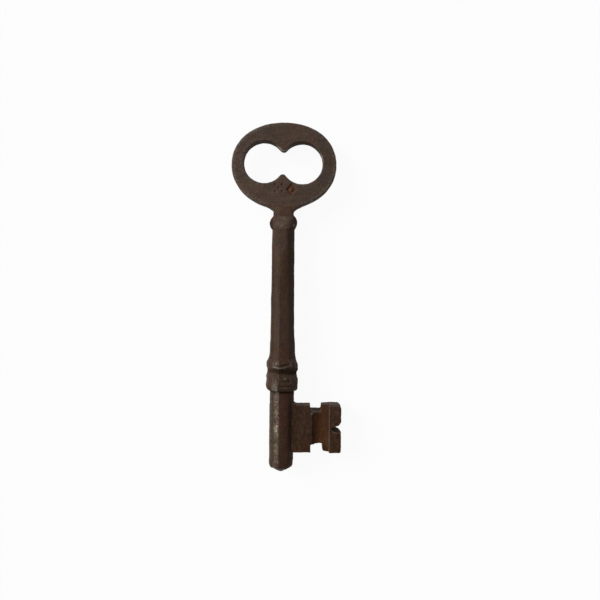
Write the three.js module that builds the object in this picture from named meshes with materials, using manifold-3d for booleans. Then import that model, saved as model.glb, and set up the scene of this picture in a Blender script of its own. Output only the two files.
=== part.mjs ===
// Skeleton key in seven pieces, lying on its back.
// +Y runs up the stem to the bow, +X runs out along the bit and +Z points up.
// Sizes are in millimetres, and heights along the stem start at the tip of the nose.
import * as THREE from 'three';
import { mergeVertices } from 'three/addons/utils/BufferGeometryUtils.js';
import Module from 'manifold-3d';

const wasm = await Module();
wasm.setup();

// Bow: a flat oval ring on a short neck
const bowWidth = 34.5;
const bowHeight = 28.2;
const bowThickness = 3.8;
const bowEdge = 0.8;
const bowFullness = 2.17;
const neckWidth = 6.7;
const neckLength = 1.8;
const neckFlareWidth = 10.8;
const neckCurveHeight = 1.2;

// Eye: two round lobes that meet at an upper and a lower cusp
const lobeRadius = 6.7;
const lobeSpacing = 12.5;
const cuspRadius = 1.55;
const eyeRise = 1.0;
const eyeShift = -0.25;
const eyeTilt = THREE.MathUtils.degToRad(-1.2);

// Knop: the ball ring between the bow and the shank
const knopHeight = 5.1;
const knopRadius = 4.6;
const knopTopRadius = 3.35;

// Shank: a tapered stem, round under the knop and filed to eight flats at its foot
const shankLength = 42.1;
const shankTopRadius = 3.62;
const shankTaperRadius = 4.1;
const shankFlareHeight = 6.6;
const shankFootRadius = 4.65;

// Collar: a rounded bead over a broad band, with a groove between them
const beadHeight = 4.4;
const beadRadius = 5.4;
const grooveRadius = 4.9;
const bandHeight = 6.4;
const bandRadius = 5.45;
const bandLip = 1.1;
const bandShoulder = 1.3;

// Post: the round pin that carries the bit
const postLength = 26.5;
const postRadius = 4.12;
const noseHeight = 2.2;
const noseShoulder = 0.7;
const noseTipRadius = 0.8;

// Bit: a thick blade with a shallow hollow channel along its front, two ward cuts and a notch in its end
const bitFoot = 6.73;
const bitHeight = 15.5;
const bitThickness = 4.8;
const bitEdge = 0.35;
const rootReach = 9.42;
const cheekWidth = 0.76;
const channelWidth = 5.42;
const channelLip = 0.3;
const channelDepth = 1.05;
const channelLowest = 2.1;
const channelRunout = 0.45;
const wardCorner = 0.6;
const upperWardWidth = 3.55;
const upperWardDepth = 1.75;
const upperWardSlope = THREE.MathUtils.degToRad(16);
const lowerWardStep = 0.2;
const lowerWardWidth = 3.8;
const lowerWardDepth = 2.87;
const endWidth = 3.97;
const endThickness = 5.8;
const endCorner = 1.2;
const endTopRise = 0.25;
const endFootDrop = 0.13;
const notchRise = 8.0;
const notchDepth = 2.9;
const notchMouth = 3.2;

// Joints: round tenons in bores and sockets, and a flat tongue in a slot
const tenonRadius = 1.7;
const tenonReach = 6.0;
const spigotRadius = 2.5;
const spigotReach = 5.5;
const tongueThickness = 2.4;
const tongueDepth = 2.8;
const tongueInset = 1.5;
const fitClearance = 0.1;
const socketEndGap = 0.3;

// Facets: eight flats, turned a little so that one edge shows left of the middle
const facetCount = 8;
const facetTurn = THREE.MathUtils.degToRad(8.5);
const shankFacets = 0.7;
const collarFacets = 0.6;
const postFacets = 0.35;
const turnSegments = 40;

// Heights at which the pieces meet
const bandFoot = postLength;
const beadFoot = bandFoot + bandHeight;
const shankFoot = beadFoot + beadHeight;
const knopFoot = shankFoot + shankLength;
const neckFoot = knopFoot + knopHeight;
const bowCentre = neckFoot + neckLength + bowHeight / 2;

// Reaches along the bit, from the post's axis
const channelStart = rootReach + cheekWidth;
const channelEnd = channelStart + channelWidth;
const bitReach = channelEnd + endWidth;
const bitTop = bitFoot + bitHeight;

// Bores and sockets that take the tenons
const boreRadius = tenonRadius + fitClearance;
const collarBoreRadius = spigotRadius + fitClearance;
const upperSocketDepth = tenonReach + socketEndGap;
const lowerSocketDepth = spigotReach + socketEndGap;

// How far a cutter stands out past the face that it cuts
const overrun = 1;

// A closed mesh with shared vertices becomes a solid that can be joined and cut
function solidFrom(geometry) {
  const bare = geometry.clone();
  bare.deleteAttribute('normal');
  bare.deleteAttribute('uv');
  const merged = mergeVertices(bare, 1e-4);
  const corners = merged.index.array;
  const triangles = [];
  for (let i = 0; i < corners.length; i += 3) {
    const [a, b, c] = [corners[i], corners[i + 1], corners[i + 2]];
    if (a !== b && b !== c && c !== a) triangles.push(a, b, c);
  }
  return new wasm.Manifold(new wasm.Mesh({
    numProp: 3,
    vertProperties: new Float32Array(merged.attributes.position.array),
    triVerts: new Uint32Array(triangles),
  }));
}

function geometryFrom(solid) {
  const { vertProperties, triVerts } = solid.getMesh();
  const geometry = new THREE.BufferGeometry();
  geometry.setAttribute('position', new THREE.BufferAttribute(vertProperties, 3));
  geometry.setIndex(new THREE.BufferAttribute(triVerts, 1));
  geometry.computeVertexNormals();
  return geometry;
}

// Points along an arc of a circle or an ellipse
function arc(x, y, xRadius, yRadius, from, to, steps) {
  return new THREE.EllipseCurve(x, y, xRadius, yRadius, from, to, to < from).getPoints(steps);
}

// A box between two corners
function block(low, high) {
  const size = high.clone().sub(low);
  const middle = low.clone().add(high).multiplyScalar(0.5);
  return new THREE.BoxGeometry(size.x, size.y, size.z).translate(middle.x, middle.y, middle.z);
}

// A flat shape with rounded edges, centred on the key's middle plane
function slab(shape, thickness, edge, edgeSteps) {
  const straight = thickness - 2 * edge;
  return new THREE.ExtrudeGeometry(shape, {
    depth: straight,
    bevelThickness: edge,
    bevelSize: edge,
    bevelOffset: -edge,
    bevelSegments: edgeSteps,
    steps: 1,
  }).translate(0, 0, -straight / 2);
}

// A cutter that runs right through the bit, with flat sides
function punch(points, thickness) {
  const depth = thickness + 2 * overrun;
  const shape = new THREE.Shape(points);
  return new THREE.ExtrudeGeometry(shape, { depth, bevelEnabled: false }).translate(0, 0, -depth / 2);
}

// A piece turned about the stem's axis. Its facets, if any, start beyond the bore.
function turned(profile, facetStrength = () => 0, boreLimit = 0) {
  const points = profile.map(([radius, height]) => new THREE.Vector2(radius, height));
  const facetAngle = 2 * Math.PI / facetCount;
  const start = facetTurn + facetAngle / 2;
  const geometry = new THREE.LatheGeometry(points, turnSegments, start, 2 * Math.PI);
  const position = geometry.attributes.position;
  for (let i = 0; i < position.count; i += 1) {
    const [x, y, z] = [position.getX(i), position.getY(i), position.getZ(i)];
    if (Math.hypot(x, z) > boreLimit) {
      const angle = Math.atan2(x, z) - facetTurn;
      const fromFlat = angle - facetAngle * Math.round(angle / facetAngle);
      const flatness = 1 - Math.cos(facetAngle / 2) / Math.cos(fromFlat);
      const share = 1 - facetStrength(y) * flatness;
      position.setXYZ(i, x * share, y, z * share);
    }
  }
  return geometry;
}

// A swelling between two radii: a parabola through the ends, with its crest at the middle
function swelling(footRadius, foot, crestRadius, topRadius, top, steps) {
  const control = 2 * crestRadius - (footRadius + topRadius) / 2;
  const curve = new THREE.QuadraticBezierCurve(
    new THREE.Vector2(footRadius, foot),
    new THREE.Vector2(control, (foot + top) / 2),
    new THREE.Vector2(topRadius, top),
  );
  return curve.getPoints(steps).map((point) => [point.x, point.y]);
}

// The eye's outline: lobe, upper cusp, lobe and lower cusp, each an arc tangent to the next
function eyeOutline() {
  const half = lobeSpacing / 2;
  const cuspHeight = Math.sqrt((lobeRadius + cuspRadius) ** 2 - half ** 2);
  const open = Math.atan2(cuspHeight, -half);
  const shut = Math.PI - open;
  const arcs = [
    arc(half, 0, lobeRadius, lobeRadius, -open, open, 26),
    arc(0, cuspHeight, cuspRadius, cuspRadius, -shut, -open, 5),
    arc(-half, 0, lobeRadius, lobeRadius, shut, 2 * Math.PI - shut, 26),
    arc(0, -cuspHeight, cuspRadius, cuspRadius, open, shut, 5),
  ];
  const centre = new THREE.Vector2(eyeShift, bowCentre + eyeRise);
  return arcs.flatMap((points) => points.slice(0, -1))
    .map((point) => point.rotateAround(new THREE.Vector2(), eyeTilt).add(centre));
}

// The bow's outline: an oval, fuller in its upper half, that flows into a neck which runs on below its seat
function bowOutline(foot) {
  const [halfWidth, halfHeight] = [bowWidth / 2, bowHeight / 2];
  const [neckHalf, flareHalf] = [neckWidth / 2, neckFlareWidth / 2];
  const flareAngle = Math.acos(flareHalf / halfWidth);
  const flareHeight = bowCentre - halfHeight * Math.sin(flareAngle);
  const slope = (halfHeight * Math.cos(flareAngle)) / (halfWidth * Math.sin(flareAngle));
  const bendHeight = flareHeight - slope * (flareHalf - neckHalf);
  const neckSide = new THREE.QuadraticBezierCurve(
    new THREE.Vector2(neckHalf, bendHeight - neckCurveHeight),
    new THREE.Vector2(neckHalf, bendHeight),
    new THREE.Vector2(flareHalf, flareHeight),
  ).getPoints(5);
  const fuller = 2 / bowFullness;
  const rim = arc(0, 0, 1, 1, -flareAngle, Math.PI + flareAngle, 52).map(({ x, y }) => {
    const power = y > 0 ? fuller : 1;
    return new THREE.Vector2(
      halfWidth * Math.sign(x) * Math.abs(x) ** power,
      bowCentre + halfHeight * Math.sign(y) * Math.abs(y) ** power,
    );
  });
  const otherSide = neckSide.map((point) => new THREE.Vector2(-point.x, point.y)).reverse();
  return [
    new THREE.Vector2(neckHalf, foot),
    ...neckSide.slice(0, -1),
    ...rim,
    ...otherSide.slice(1),
    new THREE.Vector2(-neckHalf, foot),
  ];
}

function bow() {
  const plateFoot = neckFoot - bowEdge - overrun;
  const shape = new THREE.Shape(bowOutline(plateFoot));
  shape.holes.push(new THREE.Path(eyeOutline()));
  const plate = solidFrom(slab(shape, bowThickness, bowEdge, 3));
  const belowSeat = solidFrom(block(
    new THREE.Vector3(-neckWidth, plateFoot - overrun, -bowThickness),
    new THREE.Vector3(neckWidth, neckFoot, bowThickness),
  ));
  const tenonTip = neckFoot - knopHeight - tenonReach;
  const tenon = solidFrom(turned([
    [0, tenonTip],
    [tenonRadius, tenonTip],
    [tenonRadius, neckFoot + overrun],
    [0, neckFoot + overrun],
  ]));
  return geometryFrom(plate.subtract(belowSeat).add(tenon));
}

function knop() {
  return turned([
    [boreRadius, knopFoot],
    ...swelling(shankTopRadius, knopFoot, knopRadius, knopTopRadius, neckFoot, 8),
    [boreRadius, neckFoot],
    [boreRadius, knopFoot],
  ]);
}

function shank() {
  const flareTop = shankFoot + shankFlareHeight;
  const flare = new THREE.QuadraticBezierCurve(
    new THREE.Vector2(shankFootRadius, shankFoot),
    new THREE.Vector2(shankTaperRadius, shankFoot + shankFlareHeight / 3),
    new THREE.Vector2(shankTaperRadius, flareTop),
  ).getPoints(4);
  const taperSteps = 4;
  const taper = [];
  for (let i = 1; i <= taperSteps; i += 1) {
    const share = i / taperSteps;
    taper.push([
      THREE.MathUtils.lerp(shankTaperRadius, shankTopRadius, share),
      THREE.MathUtils.lerp(flareTop, knopFoot, share),
    ]);
  }
  const profile = [
    [0, shankFoot + lowerSocketDepth],
    [collarBoreRadius, shankFoot + lowerSocketDepth],
    [collarBoreRadius, shankFoot],
    ...flare.map((point) => [point.x, point.y]),
    ...taper,
    [boreRadius, knopFoot],
    [boreRadius, knopFoot - upperSocketDepth],
    [0, knopFoot - upperSocketDepth],
  ];
  const fade = (height) => shankFacets * (knopFoot - height) / shankLength;
  return turned(profile, fade, collarBoreRadius + fitClearance);
}

function collarBead() {
  return turned([
    [collarBoreRadius, beadFoot],
    ...swelling(grooveRadius, beadFoot, beadRadius, shankFootRadius, shankFoot, 6),
    [collarBoreRadius, shankFoot],
    [collarBoreRadius, beadFoot],
  ], () => collarFacets, collarBoreRadius + fitClearance);
}

function collarBand() {
  const lip = arc(bandRadius - bandLip, bandFoot + bandLip, bandLip, bandLip, -Math.PI / 2, 0, 4);
  return turned([
    [collarBoreRadius, bandFoot],
    ...lip.map((point) => [point.x, point.y]),
    [bandRadius, beadFoot - bandShoulder],
    [(bandRadius + grooveRadius) / 2, beadFoot - bandShoulder / 2],
    [grooveRadius, beadFoot],
    [collarBoreRadius, beadFoot],
    [collarBoreRadius, bandFoot],
  ], () => collarFacets, collarBoreRadius + fitClearance);
}

function post() {
  const pin = solidFrom(turned([
    [0, 0],
    [noseTipRadius, noseShoulder / 4],
    [postRadius - noseShoulder, noseHeight - noseShoulder],
    [postRadius, noseHeight],
    [postRadius, postLength],
    [spigotRadius, postLength],
    [spigotRadius, shankFoot + spigotReach],
    [0, shankFoot + spigotReach],
  ], () => postFacets, spigotRadius + fitClearance));
  const slot = solidFrom(block(
    new THREE.Vector3(
      postRadius - tongueDepth - fitClearance,
      bitFoot + tongueInset - fitClearance,
      -tongueThickness / 2 - fitClearance,
    ),
    new THREE.Vector3(
      postRadius + overrun,
      bitTop - tongueInset + fitClearance,
      tongueThickness / 2 + fitClearance,
    ),
  ));
  return geometryFrom(pin.subtract(slot));
}

// The blade's root and web, before it is cut: a plain slab from inside the post to the end block
function bladeBlank() {
  const right = channelEnd + endWidth / 2;
  const shape = new THREE.Shape([
    new THREE.Vector2(0, bitFoot),
    new THREE.Vector2(right, bitFoot),
    new THREE.Vector2(right, bitTop),
    new THREE.Vector2(0, bitTop),
  ]);
  return solidFrom(slab(shape, bitThickness, bitEdge, 2));
}

// The thick end block, with its two outer corners rounded
function endBlock() {
  const corner = (y, from) => arc(
    bitReach - endCorner, y, endCorner, endCorner, from, from + Math.PI / 2, 4,
  );
  const [foot, top] = [bitFoot - endFootDrop, bitTop + endTopRise];
  const shape = new THREE.Shape([
    new THREE.Vector2(channelEnd, foot),
    ...corner(foot + endCorner, -Math.PI / 2),
    ...corner(top - endCorner, 0),
    new THREE.Vector2(channelEnd, top),
  ]);
  return solidFrom(slab(shape, endThickness, bitEdge, 2));
}

// The upper ward cut slopes down towards the front, as the file left it
function upperWard() {
  const backEdge = bitTop - upperWardDepth;
  const depth = endThickness + 2 * overrun;
  const fall = Math.tan(upperWardSlope);
  const cutter = block(
    new THREE.Vector3(rootReach, backEdge, -depth / 2),
    new THREE.Vector3(rootReach + upperWardWidth, bitTop + depth * fall + overrun, depth / 2),
  );
  const position = cutter.attributes.position;
  for (let i = 0; i < position.count; i += 1) {
    const fromBack = position.getZ(i) + bitThickness / 2;
    position.setY(i, position.getY(i) - fromBack * fall);
  }
  return solidFrom(cutter);
}

// The lower ward cut, with its far corner eased
function lowerWard() {
  const floor = bitFoot + lowerWardDepth;
  const wardStart = rootReach + lowerWardStep;
  const wardEnd = wardStart + lowerWardWidth;
  return solidFrom(punch([
    new THREE.Vector2(wardStart, bitFoot - overrun),
    new THREE.Vector2(wardEnd + wardCorner, bitFoot - overrun),
    new THREE.Vector2(wardEnd + wardCorner, bitFoot - endFootDrop),
    new THREE.Vector2(wardEnd, bitFoot - endFootDrop + wardCorner),
    new THREE.Vector2(wardEnd, floor),
    new THREE.Vector2(wardStart, floor),
  ], endThickness));
}

// The channel drops from the cheek to its lowest line and rises gently to the end block
function channel() {
  const face = bitThickness / 2;
  const floor = face - channelDepth;
  const lowest = channelStart + channelLowest;
  const steepSide = new THREE.QuadraticBezierCurve(
    new THREE.Vector2(channelStart, face - channelLip),
    new THREE.Vector2((channelStart + lowest) / 2, floor),
    new THREE.Vector2(lowest, floor),
  ).getPoints(4);
  const gentleSide = new THREE.QuadraticBezierCurve(
    new THREE.Vector2(lowest, floor),
    new THREE.Vector2((lowest + channelEnd) / 2, floor),
    new THREE.Vector2(channelEnd, face - channelRunout),
  ).getPoints(4);
  const shape = new THREE.Shape([
    new THREE.Vector2(channelEnd, endThickness),
    new THREE.Vector2(channelStart, endThickness),
    ...steepSide,
    ...gentleSide.slice(1),
  ]);
  const depth = bitHeight + 2 * overrun;
  const cutter = new THREE.ExtrudeGeometry(shape, { depth, bevelEnabled: false });
  return solidFrom(cutter.rotateX(Math.PI / 2).translate(0, bitTop + overrun, 0));
}

function notch() {
  const middle = bitFoot + notchRise;
  const apex = bitReach - notchDepth;
  const spread = (notchMouth / 2) * (1 + overrun / notchDepth);
  return solidFrom(punch([
    new THREE.Vector2(apex, middle),
    new THREE.Vector2(bitReach + overrun, middle - spread),
    new THREE.Vector2(bitReach + overrun, middle + spread),
  ], endThickness));
}

function bit() {
  const saddleRadius = postRadius + fitClearance;
  const saddle = solidFrom(turned([
    [0, bitFoot - overrun],
    [saddleRadius, bitFoot - overrun],
    [saddleRadius, bitTop + overrun],
    [0, bitTop + overrun],
  ]));
  const tongue = solidFrom(block(
    new THREE.Vector3(postRadius - tongueDepth, bitFoot + tongueInset, -tongueThickness / 2),
    new THREE.Vector3(postRadius + overrun, bitTop - tongueInset, tongueThickness / 2),
  ));
  const blade = bladeBlank()
    .subtract(channel())
    .add(endBlock())
    .subtract(upperWard())
    .subtract(lowerWard())
    .subtract(notch())
    .subtract(saddle)
    .add(tongue);
  return geometryFrom(blade);
}

// Dark, rusted iron. The post is worn brightest, and the bit is the most rusted.
const pieces = [
  { name: 'bow', geometry: bow(), color: 0x4a3c34, roughness: 0.62, metalness: 0.45 },
  { name: 'knop', geometry: knop(), color: 0x503f37, roughness: 0.58, metalness: 0.5 },
  { name: 'shank', geometry: shank(), color: 0x46362d, roughness: 0.6, metalness: 0.5 },
  { name: 'collar_bead', geometry: collarBead(), color: 0x48372f, roughness: 0.58, metalness: 0.5 },
  { name: 'collar_band', geometry: collarBand(), color: 0x4a3b33, roughness: 0.55, metalness: 0.5 },
  { name: 'post', geometry: post(), color: 0x4b3a31, roughness: 0.5, metalness: 0.6 },
  { name: 'bit', geometry: bit(), color: 0x4a2f20, roughness: 0.75, metalness: 0.3 },
];

const key = new THREE.Group();
for (const { name, geometry, color, roughness, metalness } of pieces) {
  const mesh = new THREE.Mesh(geometry, new THREE.MeshStandardMaterial({ color, roughness, metalness }));
  mesh.name = name;
  key.add(mesh);
}

// The origin is under the middle of the key, on the surface that it lies on
const bounds = new THREE.Box3().setFromObject(key);
const middle = bounds.getCenter(new THREE.Vector3());
key.position.set(-middle.x, -middle.y, -bounds.min.z);

const group = new THREE.Group();
group.add(key);

export default group;
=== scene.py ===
"""An old skeleton key of dark, rusted iron, in seven pieces, lying on its back on a pale table."""
import math

import bmesh
import bpy
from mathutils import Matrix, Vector, noise


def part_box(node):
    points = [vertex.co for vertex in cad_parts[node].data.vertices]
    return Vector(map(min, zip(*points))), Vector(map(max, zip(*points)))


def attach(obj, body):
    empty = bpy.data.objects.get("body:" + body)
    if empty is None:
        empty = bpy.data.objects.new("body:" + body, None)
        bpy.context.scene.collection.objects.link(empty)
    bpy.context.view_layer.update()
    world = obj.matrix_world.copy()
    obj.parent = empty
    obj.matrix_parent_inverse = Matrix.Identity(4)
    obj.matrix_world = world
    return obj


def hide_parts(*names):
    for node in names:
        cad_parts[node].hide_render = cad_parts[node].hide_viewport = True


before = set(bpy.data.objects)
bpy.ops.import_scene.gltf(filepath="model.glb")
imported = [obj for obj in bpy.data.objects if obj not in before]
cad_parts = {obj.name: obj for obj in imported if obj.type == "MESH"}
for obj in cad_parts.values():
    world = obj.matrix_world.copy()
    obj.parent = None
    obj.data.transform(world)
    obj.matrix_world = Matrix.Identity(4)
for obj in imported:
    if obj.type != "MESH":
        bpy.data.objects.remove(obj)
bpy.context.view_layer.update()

# The bow: a flat oval ring of wrought iron, filed flat on both faces and pierced by an eye of two
# round lobes. Its short neck ends in a round tenon that runs through the knop into the shank.
millimetre = 0.001

# The key's own axes, in millimetres: x across, y up the stem from the tip of the nose, and z up
# from the stem's middle.
knop_low, knop_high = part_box("knop")
stem_origin = Vector((
    (knop_low.x + knop_high.x) / 2,
    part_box("post")[0].y,
    (knop_low.z + knop_high.z) / 2,
))


def reach(node):
    """The lowest and the highest corner of a piece, on the key's own axes."""
    low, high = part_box(node)
    return (low - stem_origin) / millimetre, (high - stem_origin) / millimetre


def grow(start, end, value):
    """Rises gently from 0 at the start to 1 at the end."""
    share = min(max((value - start) / (end - start), 0.0), 1.0)
    return share * share * (3 - 2 * share)


def fade(start, end, value):
    """Falls gently from 1 at the start to 0 at the end."""
    return 1 - grow(start, end, value)


def bell(distance, width):
    """1 in the middle, and next to nothing from two widths away."""
    return math.exp(-((distance / width) ** 2))


def spot_at(vertex, x, y, width):
    """How near a vertex lies to a spot on the key, as the key is seen from the front."""
    return bell(math.hypot(vertex.co.x - x, vertex.co.y - y), width)


bow_low, bow_high = reach("bow")
bow_height = 28.2
bow_half_width = (bow_high.x - bow_low.x) / 2
bow_middle = bow_high.y - bow_height / 2
bow_fullness, bow_left_fullness = 2.17, 2.13
bow_face = bow_high.z
bow_rounding = 0.45
neck_half_width = 3.35
neck_flare_half_width = 5.9
neck_flare_slope = 0.42
neck_curve = 0.75
neck_sunk = 1.6

lobe_radius = 6.72
lobe_spacing = 12.5
upper_cusp_radius, lower_cusp_radius = 1.55, 1.2
eye_stretch = 1.016
eye_centre = Vector((-0.25, bow_middle + 0.97))
eye_tilt = math.radians(-1.2)

neck_foot = reach("knop")[1].y
tenon_radius = 1.7
tenon_tip = bow_low.y


def round_stretch(centre, radius, start, end, steps):
    """Points along a part of a circle, without the last one."""
    x, y = centre
    angles = [start + (end - start) * step / steps for step in range(steps)]
    return [(x + radius * math.cos(angle), y + radius * math.sin(angle)) for angle in angles]


def bow_outline():
    """The oval, fuller in its upper half and filed off at its lower right, and the neck."""
    flare_angle = math.acos(neck_flare_half_width / bow_half_width)
    flare_height = bow_middle - bow_height / 2 * math.sin(flare_angle)
    drop = neck_flare_slope * (neck_flare_half_width - neck_half_width)
    bend = Vector((neck_half_width, flare_height - drop))
    neck_top = Vector((neck_half_width, bend.y - neck_curve))
    flare = Vector((neck_flare_half_width, flare_height))
    curve_steps = 12
    neck_side = []
    for step in range(curve_steps):
        share = step / curve_steps
        neck_side.append(neck_top.lerp(bend, share).lerp(bend.lerp(flare, share), share))
    rim = []
    for x, y in round_stretch((0, 0), 1, -flare_angle, math.pi + flare_angle, steps=260):
        fullness = 2 if y < 0 else bow_fullness if x > 0 else bow_left_fullness
        across = bow_half_width * math.copysign(abs(x) ** (2 / fullness), x)
        up = bow_middle + bow_height / 2 * math.copysign(abs(y) ** (2 / fullness), y)
        filed_off = 0.26 * bell(across - 8.5, 3.5) if y < 0 else 0
        rim.append((across, up + filed_off))
    neck_end = neck_foot - neck_sunk
    other_side = [(-x, y) for x, y in reversed(neck_side)]
    return [
        (neck_half_width, neck_end), *neck_side, *rim,
        (-neck_flare_half_width, flare_height), *other_side, (-neck_half_width, neck_end),
    ]


def eye_outline():
    """Lobe, upper cusp, lobe and lower cusp, each a round stretch that meets the next smoothly."""
    half = lobe_spacing / 2
    upper_height = math.sqrt((lobe_radius + upper_cusp_radius) ** 2 - half ** 2)
    lower_height = math.sqrt((lobe_radius + lower_cusp_radius) ** 2 - half ** 2)
    upper = math.atan2(upper_height, half)
    lower = math.atan2(lower_height, half)
    lobe_steps, cusp_steps = 110, 16
    points = [
        *round_stretch((half, 0), lobe_radius, lower - math.pi, math.pi - upper, lobe_steps),
        *round_stretch((0, upper_height), upper_cusp_radius, -upper, upper - math.pi, cusp_steps),
        *round_stretch((-half, 0), lobe_radius, upper, 2 * math.pi - lower, lobe_steps),
        *round_stretch((0, -lower_height), lower_cusp_radius, math.pi - lower, lower, cusp_steps),
    ]
    cosine, sine = math.cos(eye_tilt), math.sin(eye_tilt)
    return [
        (eye_centre.x + x * cosine - y * sine, eye_centre.y + eye_stretch * (x * sine + y * cosine))
        for x, y in points
    ]


def loop_of(bm, points, level):
    """A closed loop of edges through flat points."""
    verts = [bm.verts.new((x, y, level)) for x, y in points]
    return [bm.edges.new((verts[i - 1], verts[i])) for i in range(len(verts))]


def raise_faces(bm, faces, height):
    """Extrudes flat faces upwards into a solid."""
    raised = bmesh.ops.extrude_face_region(bm, geom=faces)
    top = [part for part in raised["geom"] if isinstance(part, bmesh.types.BMVert)]
    bmesh.ops.translate(bm, vec=(0, 0, height), verts=top)
    bmesh.ops.recalc_face_normals(bm, faces=bm.faces)


def as_object(bm, name):
    """Hands a mesh to the scene."""
    mesh = bpy.data.meshes.new(name)
    bm.to_mesh(mesh)
    bm.free()
    piece = bpy.data.objects.new(name, mesh)
    bpy.context.scene.collection.objects.link(piece)
    return piece


def put_away(piece):
    """Takes a piece out of the scene again."""
    mesh = piece.data
    bpy.data.objects.remove(piece)
    bpy.data.meshes.remove(mesh)


def worked(piece):
    """Takes a mesh back from the scene as its modifiers have made it."""
    evaluated = piece.evaluated_get(bpy.context.evaluated_depsgraph_get())
    bm = bmesh.new()
    bm.from_mesh(evaluated.to_mesh())
    evaluated.to_mesh_clear()
    put_away(piece)
    return bm


def anywhere(place):
    """For work that covers a whole piece."""
    return True


def rub_round(bm, times, where=anywhere):
    """Rounds every crease a little."""
    verts = [vertex for vertex in bm.verts if where(vertex.co)]
    for _ in range(times):
        bmesh.ops.smooth_vert(
            bm, verts=verts, factor=0.5, use_axis_x=True, use_axis_y=True, use_axis_z=True,
        )


def even_skin(bm, voxel):
    """Joins a mesh's solids under one skin of small even faces, with its edges worn round."""
    rough = as_object(bm, "rough forging")
    remesh = rough.modifiers.new("even skin", "REMESH")
    remesh.mode = "VOXEL"
    remesh.voxel_size = voxel
    even = worked(rough)
    rub_round(even, times=3)
    return even


def new_layers(bm, *names):
    """Values between 0 and 1 that a mesh carries for its iron."""
    return [bm.verts.layers.float.new(name) for name in names]


def weather(bm, seed, wave, lump, pit_depth, pit_share, outside=anywhere, seams=()):
    """Gives iron its uneven skin: long waves, small lumps and rust pits.

    The layer "edge" keeps how sharp the skin is, though not at the heights of seams, and "pit" how
    deep in a pit a point lies."""
    edge_layer, pit_layer = new_layers(bm, "edge", "pit")
    bm.normal_update()
    wave_length, lump_length, grit_length, pit_spacing = 4.5, 1.4, 0.55, 1.1
    for vertex in bm.verts:
        sharpness = 0
        for edge in vertex.link_edges:
            away = (vertex.co - edge.other_vert(vertex).co).normalized()
            sharpness += away.dot(vertex.normal)
        if all(abs(vertex.co.y - seam) > 0.6 for seam in seams):
            vertex[edge_layer] = sharpness / max(len(vertex.link_edges), 1)
    moves = []
    for vertex in bm.verts:
        if not outside(vertex.co):
            continue
        place = vertex.co + Vector((seed, 0, 0))
        height = wave * noise.noise(place / wave_length)
        height += lump * noise.noise(place / lump_length)
        height += 0.4 * lump * noise.noise(place / grit_length)
        distances, points = noise.voronoi(place / pit_spacing)
        size = noise.cell(points[0] * 9.7)
        if size < pit_share:
            pit_radius = 0.2 + 0.3 * size / pit_share
            pit = fade(0.2, pit_radius + 0.2, distances[0] * pit_spacing)
            height -= pit_depth * pit
            vertex[pit_layer] = pit
        moves.append((vertex, vertex.normal * height))
    for vertex, move in moves:
        vertex.co += move


def scratch(vertex, start, end, width, depth):
    """Presses a groove, or raises a ridge, along a line on the key's front."""
    if vertex.co.z < 0:
        return
    line = end - start
    away = Vector((vertex.co.x, vertex.co.y)) - start
    along = min(max(away.dot(line) / line.length_squared, 0), 1)
    distance = (away - line * along).length
    if distance < 3 * width:
        vertex.co.z -= depth * bell(distance, width)


def file_marks(place):
    """How much is groove, and how much ridge, in the file marks beside the neck's left edge."""
    spacing = 0.68
    patch = bell(place.x + 2.3, 1.0) * grow(83.2, 84.0, place.y) * fade(86.4, 87.6, place.y)
    across_marks = 0.87 * place.x - 0.49 * place.y
    ridge = 0.5 + 0.5 * math.cos(2 * math.pi * across_marks / spacing)
    return patch * (1 - ridge), patch * ridge


def right_specks(place):
    """Fine dark specks down the right of the neck and the knop."""
    speck = grow(0.0, 0.3, noise.noise(place / 0.36))
    return speck * bell(place.x - 2.6, 0.7) * fade(86.0, 88.0, place.y)


bow = bmesh.new()
bow_edges = loop_of(bow, bow_outline(), bow_low.z) + loop_of(bow, eye_outline(), bow_low.z)
flat_ring = bmesh.ops.triangle_fill(bow, edges=bow_edges, use_beauty=True)
ring_faces = [part for part in flat_ring["geom"] if isinstance(part, bmesh.types.BMFace)]
raise_faces(bow, ring_faces, bow_high.z - bow_low.z)
rim_edges = [edge for edge in bow.edges if edge.calc_face_angle(0) > math.radians(60)]
bmesh.ops.bevel(
    bow, geom=rim_edges, offset=bow_rounding, affect="EDGES", segments=3, profile=0.5, material=-1,
)
tenon = bmesh.ops.create_cone(
    bow, cap_ends=True, segments=32, radius1=tenon_radius, radius2=tenon_radius,
    depth=neck_foot - tenon_tip,
)
for vertex in tenon["verts"]:
    x, y, z = vertex.co
    vertex.co = (x, z + (neck_foot + tenon_tip) / 2, y)
bmesh.ops.recalc_face_normals(bow, faces=bow.faces)
bow = even_skin(bow, voxel=0.15)
thinned_at_sides = 0.16
for vertex in bow.verts:
    vertex.co.z *= 1 - thinned_at_sides * (vertex.co.x / bow_half_width) ** 2
weather(bow, seed=3, wave=0.05, lump=0.02, pit_depth=0.035, pit_share=0.3)


# The bow's wear: file marks lie beside the neck's left edge and nicks in its right one. The
# bevels of the upper cusp and the right lobe carry a painted highlight where they face the light,
# and the oval's outer edge shows metal in flecks, most on the left and at the lower right, with
# dark specks between them. Walls that face down carry painted shade.
def from_rim(x, y):
    """How far inside the oval's outer edge a point lies."""
    fullness = 2 if y < bow_middle else bow_fullness
    across, up = abs(x / bow_half_width), abs((y - bow_middle) / (bow_height / 2))
    oval = (across ** fullness + up ** fullness) ** (1 / fullness)
    return (1 - oval) * math.hypot(x, y - bow_middle)


def near_left_lobe(x, y):
    """How close a point lies to the left side of the left lobe."""
    from_lobe = math.hypot(x - eye_centre.x + lobe_spacing / 2, y - eye_centre.y) - lobe_radius
    return bell(from_lobe - 0.5, 0.5) * fade(-9, -5, x)


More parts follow.
